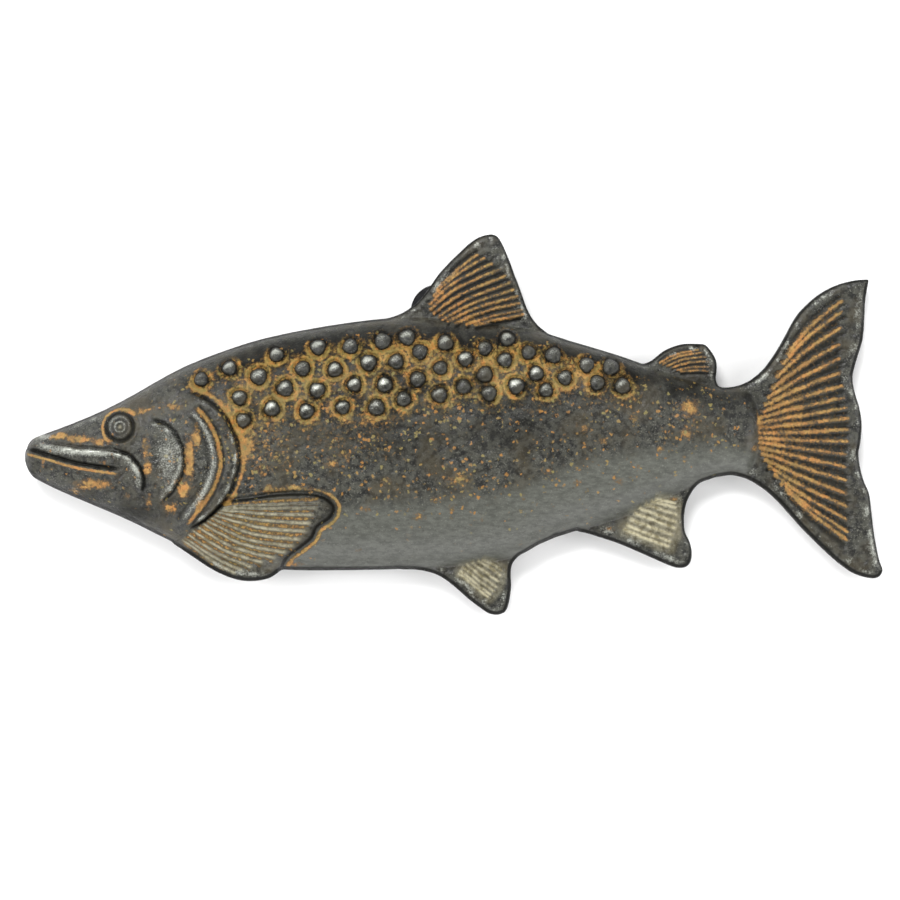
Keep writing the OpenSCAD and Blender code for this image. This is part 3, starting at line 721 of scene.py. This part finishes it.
def detailed(points):
    """Whether each point needs the fine pitch."""
    x, y = points.T
    back, belly = line_at(BACK_LINE, x), line_at(BELLY_LINE, x)
    fins = (y > back - 1.5) | (y < belly + 2) | (x > 54) | ((x > 28) & (y < -12))
    head = (x < -38) & (y < 9)
    spotted = np.zeros(len(x), bool)
    for cx, cy in SPOTS:
        spotted |= (x - cx) ** 2 + (y - cy) ** 2 < SPOT_DETAIL_RADIUS ** 2
    return fins | head | inside(x, y, PECTORAL_DETAIL) | spotted


def relief_plan(outline):
    """The points of the relief: the outline, rings of points beside it, and a lattice that is
    finer where there is detail."""
    fine, coarse = outline.filled(FINE_PITCH), outline.filled(COARSE_PITCH)
    grid = np.vstack([fine[detailed(fine)], coarse[~detailed(coarse)]])
    edge, way_out, _ = outline.nearest(grid)
    rings = np.array(EDGE_RINGS)
    ring = rings[np.argmin(np.abs(edge[:, None] - rings), axis=1)]
    on_ring = edge < EDGE_RINGS[-1] + FINE_PITCH / 2
    grid[on_ring] += way_out[on_ring] * (edge - ring)[on_ring, None]
    return np.vstack([outline.points, grid])


def triangulate(points, loops):
    """Triangles that fill the plane inside the loops, as indices of the points."""
    edges = [(a, b) for loop in loops for a, b in zip(loop, loop[1:] + loop[:1])]
    fill_inside, tolerance = 1, 1e-6
    found = delaunay_2d_cdt([Vector(p) for p in points], edges, [], fill_inside, tolerance)
    _, _, triangles, origins, _, _ = found
    first_origins = np.array([same[0] for same in origins])
    return first_origins[np.array(triangles)]


def add_object(name, data):
    """A new object in the scene."""
    made = bpy.data.objects.new(name, data)
    bpy.context.scene.collection.objects.link(made)
    return made


class MeshBuilder:
    """Collects vertices and faces in millimetres, with a finish for each vertex."""

    def __init__(self):
        self.points, self.faces, self.finish = [], [], {}
        self.count = 0

    def add(self, points, finish):
        """Adds vertices, and gives their indices."""
        start = self.count
        self.points.append(np.asarray(points, float))
        for name, value in finish.items():
            filled = np.broadcast_to(np.asarray(value, float), len(points))
            self.finish.setdefault(name, []).append(filled)
        self.count += len(points)
        return np.arange(start, self.count)

    def add_faces(self, faces):
        self.faces.extend(map(tuple, faces.tolist()))

    def bridge(self, upper, lower):
        """Quads between two closed rings of as many points."""
        after = np.roll(np.arange(len(upper)), -1)
        self.add_faces(np.stack([upper, lower, lower[after], upper[after]], axis=1))

    def build(self, name):
        """The finished piece, with its finishes as attributes."""
        mesh = bpy.data.meshes.new(name)
        mesh.from_pydata((np.vstack(self.points) * MM).tolist(), [], self.faces)
        for key, parts in self.finish.items():
            layer = mesh.attributes.new(key, "FLOAT", "POINT")
            layer.data.foreach_set("value", np.concatenate(parts).astype(np.float32))
        mesh.polygons.foreach_set("use_smooth", np.ones(len(mesh.polygons), bool))
        return add_object(name, mesh)


def add_relief(builder, outline):
    """The relief itself. Gives the indices of its edge and the height there."""
    plan = relief_plan(outline)
    edge, _, facing = outline.nearest(plan)
    relief = Relief(plan[:, 0], plan[:, 1], edge, facing)
    top = builder.add(np.column_stack([plan, BACK_Z + relief.height]), relief.finish)
    count = len(outline.points)
    builder.add_faces(top[triangulate(plan, [list(range(count))])])
    return top[:count], relief.height[:count]


def add_wall(builder, outline, upper, height):
    """The side wall, down to a rounded foot. Gives the indices of the foot's inner edge."""
    for share in WALL_SHARES:
        foot, inset = (FOOT_ROUND, 0) if share else (0, FOOT_ROUND)
        z = BACK_Z + foot + (height - foot) * share
        lower = builder.add(np.column_stack([outline.inset(inset), z]), BARE)
        builder.bridge(upper, lower)
        upper = lower
    return upper


def hole_profile(hole):
    """Radii and depths of a blind hole's wall, from its rounded lip to its middle."""
    fillet = min(FLOOR_FILLET, hole.depth / 3)
    turns = [math.radians(a) for a in (0, 30, 60, 90)]
    profile = [(hole.radius + LIP_ROUND - LIP_ROUND * math.sin(a), LIP_ROUND * (1 - math.cos(a)))
               for a in turns]
    profile += [(hole.radius - fillet * (1 - math.cos(a)), hole.depth - fillet * (1 - math.sin(a)))
                for a in turns]
    return profile + [(hole.radius * share, hole.depth) for share in (0.75, 0.5, 0.25)]


def add_hole(builder, hole):
    """A blind hole. Gives the indices of its lip and the lip's points in plan."""
    turn = np.linspace(0, 2 * math.pi, HOLE_TURNS, endpoint=False)
    spin = np.stack([np.cos(turn), np.sin(turn)], axis=1)
    profile = hole_profile(hole)
    rings = [builder.add(np.column_stack([hole.centre + spin * radius, np.full(HOLE_TURNS, BACK_Z + depth)]),
                         BARE) for radius, depth in profile]
    for outer, inner in zip(rings, rings[1:]):
        builder.bridge(outer, inner)
    middle = builder.add([(*hole.centre, BACK_Z + hole.depth)], BARE)[0]
    last = rings[-1]
    builder.add_faces(np.stack([np.full(HOLE_TURNS, middle), np.roll(last, -1), last], axis=1))
    return rings[0], hole.centre + spin * profile[0][0]


def add_back(builder, outline, rim, holes, lips):
    """The flat back, between the rim of the foot and the lips of the holes. A triangle with all
    its corners on one lip lies over that hole, so it is left out."""
    fill = outline.filled(BACK_PITCH)
    keep = outline.nearest(fill)[0] > BACK_MARGIN
    for hole in holes:
        keep &= np.hypot(*(fill - hole.centre).T) > hole.radius + HOLE_MARGIN
    fill = fill[keep]
    field = builder.add(np.column_stack([fill, np.full(len(fill), BACK_Z)]), BARE)
    edges = [outline.inset(FOOT_ROUND)] + [plan for _, plan in lips]
    index = np.concatenate([rim] + [indices for indices, _ in lips] + [field])
    starts = np.cumsum([0] + [len(edge) for edge in edges])
    loops = [list(range(a, b)) for a, b in zip(starts, starts[1:])]
    faces = triangulate(np.vstack(edges + [fill]), loops)
    for a, b in zip(starts[1:], starts[2:]):
        over_hole = np.all((faces >= a) & (faces < b), axis=1)
        faces = faces[~over_hole]
    builder.add_faces(index[faces][:, ::-1])


def casting():
    """The trout: relief, side wall and flat back with its blind holes, as one closed mesh."""
    loops = back_loops()
    outline = Outline(loops[0])
    holes = [hole_of(loop) for loop in loops[1:]]
    builder = MeshBuilder()
    edge, height = add_relief(builder, outline)
    rim = add_wall(builder, outline, edge, height)
    lips = [add_hole(builder, hole) for hole in holes]
    add_back(builder, outline, rim, holes, lips)
    piece = builder.build("trout_casting")
    piece.data.materials.append(iron_material())
    return piece


# ---------------- materials
def rgb(red, green, blue):
    return (red, green, blue, 1.0)


BLACK = rgb(0.005, 0.005, 0.004)
SEALED_IRON = rgb(0.036, 0.036, 0.027)
BROWN_IRON = rgb(0.04, 0.031, 0.014)
CHALK = rgb(0.12, 0.12, 0.098)
BELLY_DARK = rgb(0.044, 0.046, 0.038)
BELLY_LIGHT = rgb(0.082, 0.085, 0.072)
BELLY_SCUFF = rgb(0.17, 0.175, 0.15)
BELLY_PORE = rgb(0.026, 0.025, 0.018)
WASH_OLIVE = rgb(0.17, 0.145, 0.07)
WASH_SILVER = rgb(0.42, 0.385, 0.255)
RUST_ORANGE = rgb(0.3, 0.122, 0.028)
RUST_OCHRE = rgb(0.27, 0.165, 0.045)
RUST_BRIGHT = rgb(0.42, 0.22, 0.06)
RUST_BROWN = rgb(0.13, 0.068, 0.019)
RUST_GRIT = rgb(0.105, 0.058, 0.018)
RUST_THIN = rgb(0.08, 0.044, 0.014)
OLIVE_PAINT = rgb(0.185, 0.145, 0.042)
OLIVE_THIN = rgb(0.052, 0.042, 0.012)
SPECK_RUST = rgb(0.25, 0.118, 0.026)
SPECK_OLIVE = rgb(0.16, 0.134, 0.046)
SPECK_DARK = rgb(0.07, 0.048, 0.018)
# Grey metal, for scuffs and for painted highlights.
BARE_METAL_AND_GLINT = rgb(0.33, 0.34, 0.3)
SPECK_MM = 0.72
SPECK_SWAY_MM = 1.1


class Nodes:
    """Short calls that add and join the shader nodes of a material or a world."""

    def __init__(self, owner, shader="Principled BSDF"):
        owner.use_nodes = True
        self.owner, self.tree = owner, owner.node_tree
        self.shader = self.tree.nodes[shader]
        self.coords = self.node("TexCoord").outputs

    def node(self, kind, inputs=None, **settings):
        made = self.tree.nodes.new("ShaderNode" + kind)
        for key, value in settings.items():
            setattr(made, key, value)
        for key, value in (inputs or {}).items():
            self.join(value, made.inputs[key])
        return made

    def join(self, value, socket):
        """Links a socket to another, or sets its value."""
        if isinstance(value, bpy.types.NodeSocket):
            self.tree.links.new(value, socket)
        else:
            socket.default_value = value

    def set(self, **inputs):
        """Sets the shader's own inputs."""
        for key, value in inputs.items():
            self.join(value, self.shader.inputs[key.replace("_", " ")])

    def noise(self, size_mm, detail, stretch=None):
        place = self.coords["Object"]
        if stretch:
            place = self.node("Mapping", {"Vector": place, "Scale": stretch}).outputs[0]
        return self.node("TexNoise", {"Vector": place, "Scale": 1 / (size_mm * MM),
                                      "Detail": detail, "Roughness": 0.6}).outputs[0]

    def math(self, operation, a, b):
        return self.node("Math", {0: a, 1: b}, operation=operation).outputs[0]

    def centred(self, value, gain):
        """A noise from 0 to 1, moved to lie round 0 and multiplied by the gain."""
        return self.math("MULTIPLY", self.math("SUBTRACT", value, 0.5), gain)

    def between(self, value, low, high, to_low=0.0, to_high=1.0):
        """value from low to high, mapped smoothly to to_low to to_high."""
        return self.node("MapRange", {"Value": value, "From Min": low, "From Max": high, "To Min": to_low,
                                      "To Max": to_high}, interpolation_type="SMOOTHSTEP").outputs[0]

    def mix(self, share, a, b):
        """A mix of two colours."""
        return self.node("Mix", {0: share, 6: a, 7: b}, data_type="RGBA").outputs[2]

    def blend(self, share, a, b):
        """A mix of two numbers."""
        return self.node("Mix", {0: share, 2: a, 3: b}).outputs[0]

    def bump(self, height, depth_mm, strength=1.0):
        bumped = self.node("Bump", {"Height": height, "Distance": depth_mm * MM, "Strength": strength})
        self.set(Normal=bumped.outputs[0])


def new_material(name):
    return Nodes(bpy.data.materials.new(name))


class IronNodes(Nodes):
    """The casting's material, with its finishes and the noises that its parts share."""

    def __init__(self):
        super().__init__(bpy.data.materials.new("antiqued_iron"))
        self.finish = {name: self.node("Attribute", attribute_name=name).outputs["Fac"]
                       for name in FINISHES_AND_PAINTED_LIGHT}
        self.fine, self.speck = self.noise(0.3, 2), self.noise(0.6, 2)
        self.grit, self.cloud = self.noise(1.1, 3), self.noise(7, 3)


def iron_skin(n):
    """The iron without its paint: mottled black, the grey belly and the pale wash, then black where the dark
    finish lies, which is partly black paint and partly painted shade.
    """
    black = n.mix(n.between(n.grit, 0.36, 0.64), BLACK, SEALED_IRON)
    black = n.mix(n.between(n.cloud, 0.45, 0.7, 0, 0.6), black, BROWN_IRON)
    chalky = n.math("MULTIPLY", n.between(n.fine, 0.56, 0.72, 0, 0.8), n.between(n.cloud, 0.4, 0.6, 1, 0.25))
    black = n.mix(chalky, black, CHALK)
    brushed = n.noise(1.6, 4, stretch=(1.0, 2.4, 1.0))
    grey = n.mix(n.between(brushed, 0.3, 0.7), BELLY_DARK, BELLY_LIGHT)
    grey = n.mix(n.between(n.fine, 0.56, 0.74, 0, 0.45), grey, BELLY_SCUFF)
    grey = n.mix(n.between(n.speck, 0.62, 0.72, 0, 0.6), grey, BELLY_PORE)
    skin = n.mix(n.finish["belly"], black, grey)
    silver = n.mix(n.between(n.grit, 0.3, 0.65), WASH_OLIVE, WASH_SILVER)
    washed = n.math("MULTIPLY", n.finish["pale"], n.between(n.speck, 0.25, 0.6, 0.7, 1))
    skin = n.mix(washed, skin, silver)
    # Black paint, and painted shade in grooves, at the feet of edges, round the domes and along the lower
    # edge.
    return n.mix(n.finish["dark"], skin, BLACK)


def iron_paint(n, ragged):
    """The rust-brown paint, thin where it is ragged, and more olive in places."""
    rust = n.mix(n.between(n.noise(1.9, 2), 0.38, 0.62), RUST_ORANGE, RUST_OCHRE)
    rust = n.mix(n.between(n.fine, 0.35, 0.65, 0, 0.45), rust, RUST_BRIGHT)
    rust = n.mix(n.between(n.noise(2.6, 2), 0.42, 0.62, 0, 0.5), rust, RUST_BROWN)
    thick = n.between(ragged, 0.75, 1.35)
    dull = n.math("MULTIPLY", n.finish["olive"], n.between(n.grit, 0.35, 0.6))
    paint = n.mix(dull, n.mix(thick, RUST_THIN, rust), n.mix(thick, OLIVE_THIN, OLIVE_PAINT))
    return n.mix(n.between(n.grit, 0.5, 0.66, 0, 0.5), paint, RUST_GRIT)


def iron_specks(n, colour):
    """Flecks of paint over a colour: one in each cell of an uneven pattern, where the cell's own
    number is below the strength of the finish."""
    place = n.coords["Object"]
    sway = n.node("TexNoise", {"Vector": place, "Scale": 1 / (0.8 * MM)}).outputs["Color"]
    sway = n.node("VectorMath", {0: sway, 1: (0.5, 0.5, 0.5)}, operation="SUBTRACT").outputs[0]
    sway = n.node("VectorMath", {0: sway, "Scale": SPECK_SWAY_MM * MM}, operation="SCALE").outputs[0]
    swayed = n.node("VectorMath", {0: place, 1: sway}, operation="ADD").outputs[0]
    cells = n.node("TexVoronoi", {"Vector": swayed, "Scale": 1 / (SPECK_MM * MM)}).outputs
    draw = n.node("SeparateColor", {0: cells["Color"]}).outputs
    chosen = n.between(n.math("SUBTRACT", n.finish["specks"], draw[0]), 0, 0.08)
    blot = n.math("ADD", cells["Distance"], n.centred(n.fine, 0.5))
    blot = n.math("SUBTRACT", blot, n.math("MULTIPLY", draw[2], 0.22))
    dot = n.math("MULTIPLY", chosen, n.between(blot, 0.08, 0.38, 0.9, 0))
    fleck = n.mix(n.between(draw[1], 0.2, 0.9), SPECK_RUST, SPECK_OLIVE)
    fleck = n.mix(n.between(draw[2], 0.1, 0.9, 0.85, 0), fleck, SPECK_DARK)
    return n.mix(dot, colour, fleck)


def iron_material():
    """Dark sealed iron, with rust-brown paint worked into its recesses, grey on top where it is scuffed and
    where highlights are painted, and black that is partly painted shade.
    """
    n = IronNodes()
    belly, dark = n.finish["belly"], n.finish["dark"]
    ragged = n.math("ADD", n.math("MULTIPLY", n.finish["rust"], 1.5), n.centred(n.speck, 1.65))
    painted = n.between(ragged, 0.42, 1.05)
    # Grey metal where the casting is scuffed and where highlights are painted.
    bare_and_glint = n.between(n.math("ADD", n.finish["wear"], n.centred(n.fine, 1)), 0.22, 0.95)
    colour = n.mix(painted, iron_skin(n), iron_paint(n, ragged))
    colour = n.mix(bare_and_glint, iron_specks(n, colour), BARE_METAL_AND_GLINT)
    gloss = n.blend(belly, n.between(n.grit, 0.3, 0.7, 0.4, 0.58), 0.46)
    gloss = n.blend(bare_and_glint, n.blend(painted, gloss, 0.66), 0.32)
    n.set(Base_Color=colour, Roughness=gloss, Metallic=n.math("MULTIPLY", bare_and_glint, 0.4),
          Specular_IOR_Level=n.blend(dark, 0.42, 0.08))
    lumps = n.math("ADD", n.math("MULTIPLY", n.grit, 0.6), n.math("MULTIPLY", n.speck, 0.4))
    n.bump(n.math("MULTIPLY", lumps, n.math("SUBTRACT", 1, n.math("MULTIPLY", belly, 0.8))), 0.22)
    return n.owner


def steel_material(name, dark, light, roughness, smudge_mm):
    """Stamped or drawn steel with fine lines, smudges and a grainy finish."""
    n = new_material(name)
    lines = n.noise(0.25, 3, stretch=(1.0, 14.0, 1.0))
    smudge = n.noise(smudge_mm, 4)
    colour = n.mix(n.between(smudge, 0.3, 0.7), dark, light)
    colour = n.mix(n.between(lines, 0.4, 0.8, 0, 0.35), colour, light)
    n.set(Base_Color=colour, Metallic=0.9,
          Roughness=n.between(smudge, 0.25, 0.75, roughness - 0.08, roughness + 0.1))
    n.bump(lines, 0.02, strength=0.6)
    return n.owner


# ---------------- the hardware on the back
WELD_MM = 0.002
FLAT_WITHIN = math.radians(0.5)
BEVELLED_FROM = math.radians(40)
SHARP_FROM = math.radians(35)


def place(piece, node):
    """Sets a piece on the one body and hides the CAD node that it stands for."""
    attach(piece, "root")
    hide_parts(node)


def refined(node, name, bevel_mm, material):
    """A copy of a CAD node with its flat faces joined and its edges broken, which stands for it."""
    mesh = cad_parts[node].data.copy()
    shape = bmesh.new()
    shape.from_mesh(mesh)
    bmesh.ops.remove_doubles(shape, verts=shape.verts, dist=WELD_MM * MM)
    bmesh.ops.dissolve_limit(shape, angle_limit=FLAT_WITHIN, verts=shape.verts, edges=shape.edges)
    edges = [e for e in shape.edges if len(e.link_faces) == 2 and e.calc_face_angle() > BEVELLED_FROM]
    bmesh.ops.bevel(shape, geom=edges, offset=bevel_mm * MM, segments=3, profile=0.5,
                    affect="EDGES", clamp_overlap=True)
    bmesh.ops.triangulate(shape, faces=[f for f in shape.faces if len(f.verts) > 4])
    shape.to_mesh(mesh)
    shape.free()
    mesh.materials.clear()
    mesh.materials.append(material)
    mesh.shade_smooth()
    mesh.set_sharp_from_angle(angle=SHARP_FROM)
    place(add_object(name, mesh), node)


def hardware():
    """The lifter plate with its screws, and the magnets in their cups."""
    black = steel_material("blackened_steel", rgb(0.006, 0.006, 0.0065), rgb(0.019, 0.019, 0.02), 0.42, 0.9)
    zinc = steel_material("zinc_plate", rgb(0.4, 0.405, 0.41), rgb(0.5, 0.5, 0.495), 0.34, 1.2)
    nickel = steel_material("nickel_plate", rgb(0.56, 0.555, 0.54), rgb(0.64, 0.63, 0.615), 0.24, 3.0)
    screw = steel_material("screw_black", rgb(0.024, 0.024, 0.026), rgb(0.06, 0.06, 0.062), 0.34, 0.6)
    refined("cap_lifter", "lifter_plate", 0.25, black)
    refined("lifter_screws", "plate_screws", 0.1, screw)
    for end in ("head", "tail"):
        refined(f"{end}_magnet_cup", f"{end}_cup", 0.2, zinc)
        refined(f"{end}_magnet", f"{end}_disc", 0.1, nickel)


# ---------------- stage
VIEW_WIDTH_MM = 168.4
SENSOR_MM = 36.0
LENS_MM = 130.0
LOOK_AT = (-0.84, -4.77)
FLOOR_M = 2.6
# Name, place and size in metres, and power in watts.
LIGHTS = [("key", (-0.2, 0.7, 0.95), (0.55, 0.4), 13),
          ("belly_card", (0.1, -1.1, 0.6), (1.6, 0.5), 15),
          ("left_card", (-1.2, 0.1, 0.6), (0.5, 1.2), 11),
          ("right_card", (1.2, 0.1, 0.6), (0.5, 1.2), 11)]
# How the light of the surroundings fades, from near the horizon to high up.
SKY_FADE = {"From Min": 0.05, "From Max": 0.8, "To Min": 1.0, "To Max": 0.33}


def camera():
    """Straight above, with the back of the fish at the top of the view."""
    data = bpy.data.cameras.new("camera")
    data.sensor_width = SENSOR_MM
    data.lens = LENS_MM
    data.clip_end = 10
    rig = add_object("camera", data)
    distance = VIEW_WIDTH_MM * LENS_MM / SENSOR_MM
    rig.location = (LOOK_AT[0] * MM, LOOK_AT[1] * MM, (BACK_Z + FIN_THICKNESS / 2 + distance) * MM)
    bpy.context.scene.camera = rig


def floor():
    """A plain, nearly white floor."""
    bpy.ops.mesh.primitive_plane_add(size=FLOOR_M)
    plane = bpy.context.object
    plane.name = "floor"
    n = new_material("white_sweep")
    shade = n.between(n.noise(300, 1), 0.3, 0.7)
    n.set(Base_Color=n.mix(shade, rgb(0.9, 0.9, 0.895), rgb(0.91, 0.91, 0.91)), Roughness=0.9)
    plane.data.materials.append(n.owner)


def area_light(name, place_m, size, watts):
    """A soft light that faces the fish."""
    data = bpy.data.lights.new(name, "AREA")
    data.shape = "RECTANGLE"
    data.size, data.size_y = size
    data.energy = watts
    light = add_object(name, data)
    light.location = place_m
    light.rotation_euler = Vector(place_m).to_track_quat("Z", "Y").to_euler()


def sky():
    """White surroundings that are brightest near the horizon."""
    n = Nodes(bpy.data.worlds.new("studio"), "Background")
    height = n.node("SeparateXYZ", {0: n.coords["Generated"]}).outputs["Z"]
    fade = n.node("MapRange", {"Value": height, **SKY_FADE}).outputs[0]
    n.set(Color=rgb(1.0, 1.0, 1.0), Strength=fade)
    bpy.context.scene.world = n.owner


camera()
place(casting(), CASTING)
hardware()
floor()
for light in LIGHTS:
    area_light(*light)
sky()
bpy.context.scene.view_settings.view_transform = "Standard"
